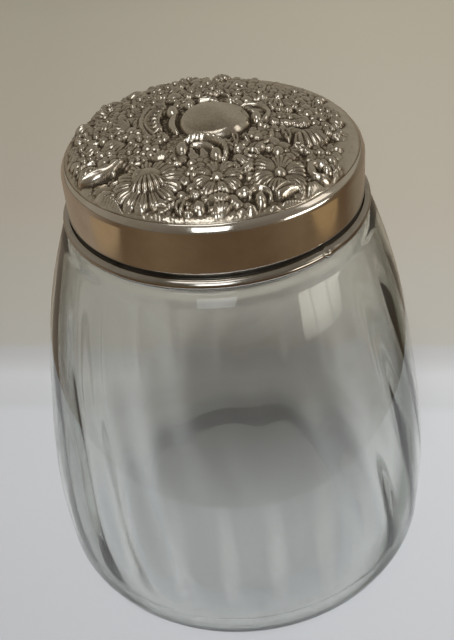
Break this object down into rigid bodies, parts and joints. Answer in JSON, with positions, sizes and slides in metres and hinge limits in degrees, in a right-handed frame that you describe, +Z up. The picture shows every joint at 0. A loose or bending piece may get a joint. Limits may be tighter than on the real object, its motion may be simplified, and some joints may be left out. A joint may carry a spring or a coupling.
{
  "type": "powder jar",
  "caption": "Barrel-shaped clear glass vanity powder jar with a beaded metal collar on its neck and a slip-on metal lid with a repousse domed top.",
  "frame": {"origin": "centre of the base, on the surface the jar stands on", "axes": "+Z up along the axis of the jar, -Y towards the front of the lid's ornament"},
  "size_m": [0.1116, 0.1116, 0.1389],
  "materials": {
    "glass": "clear blown glass, slightly grey-green in the thick parts",
    "plaster": "matt set plaster",
    "collar_metal": "worn polished silver-coloured metal",
    "lid_metal": "polished silver-coloured metal, fine rubbing scratches",
    "repousse_metal": "silver-coloured metal with dark oxide in the recesses"
  },
  "bodies": {
    "jar": {"glass_jar": "glass", "neck_cement": "plaster", "collar_band": "collar_metal", "collar_bead": "collar_metal"},
    "lid": {"lid_band": "lid_metal", "lid_top_plate": "repousse_metal", "lid_liner": "lid_metal"}
  },
  "joints": [
    {"name": "lid_lift", "type": "slide", "parent": "jar", "child": "lid", "axis": [0, 0, 1], "range_m": [0, 0.06]}
  ]
}
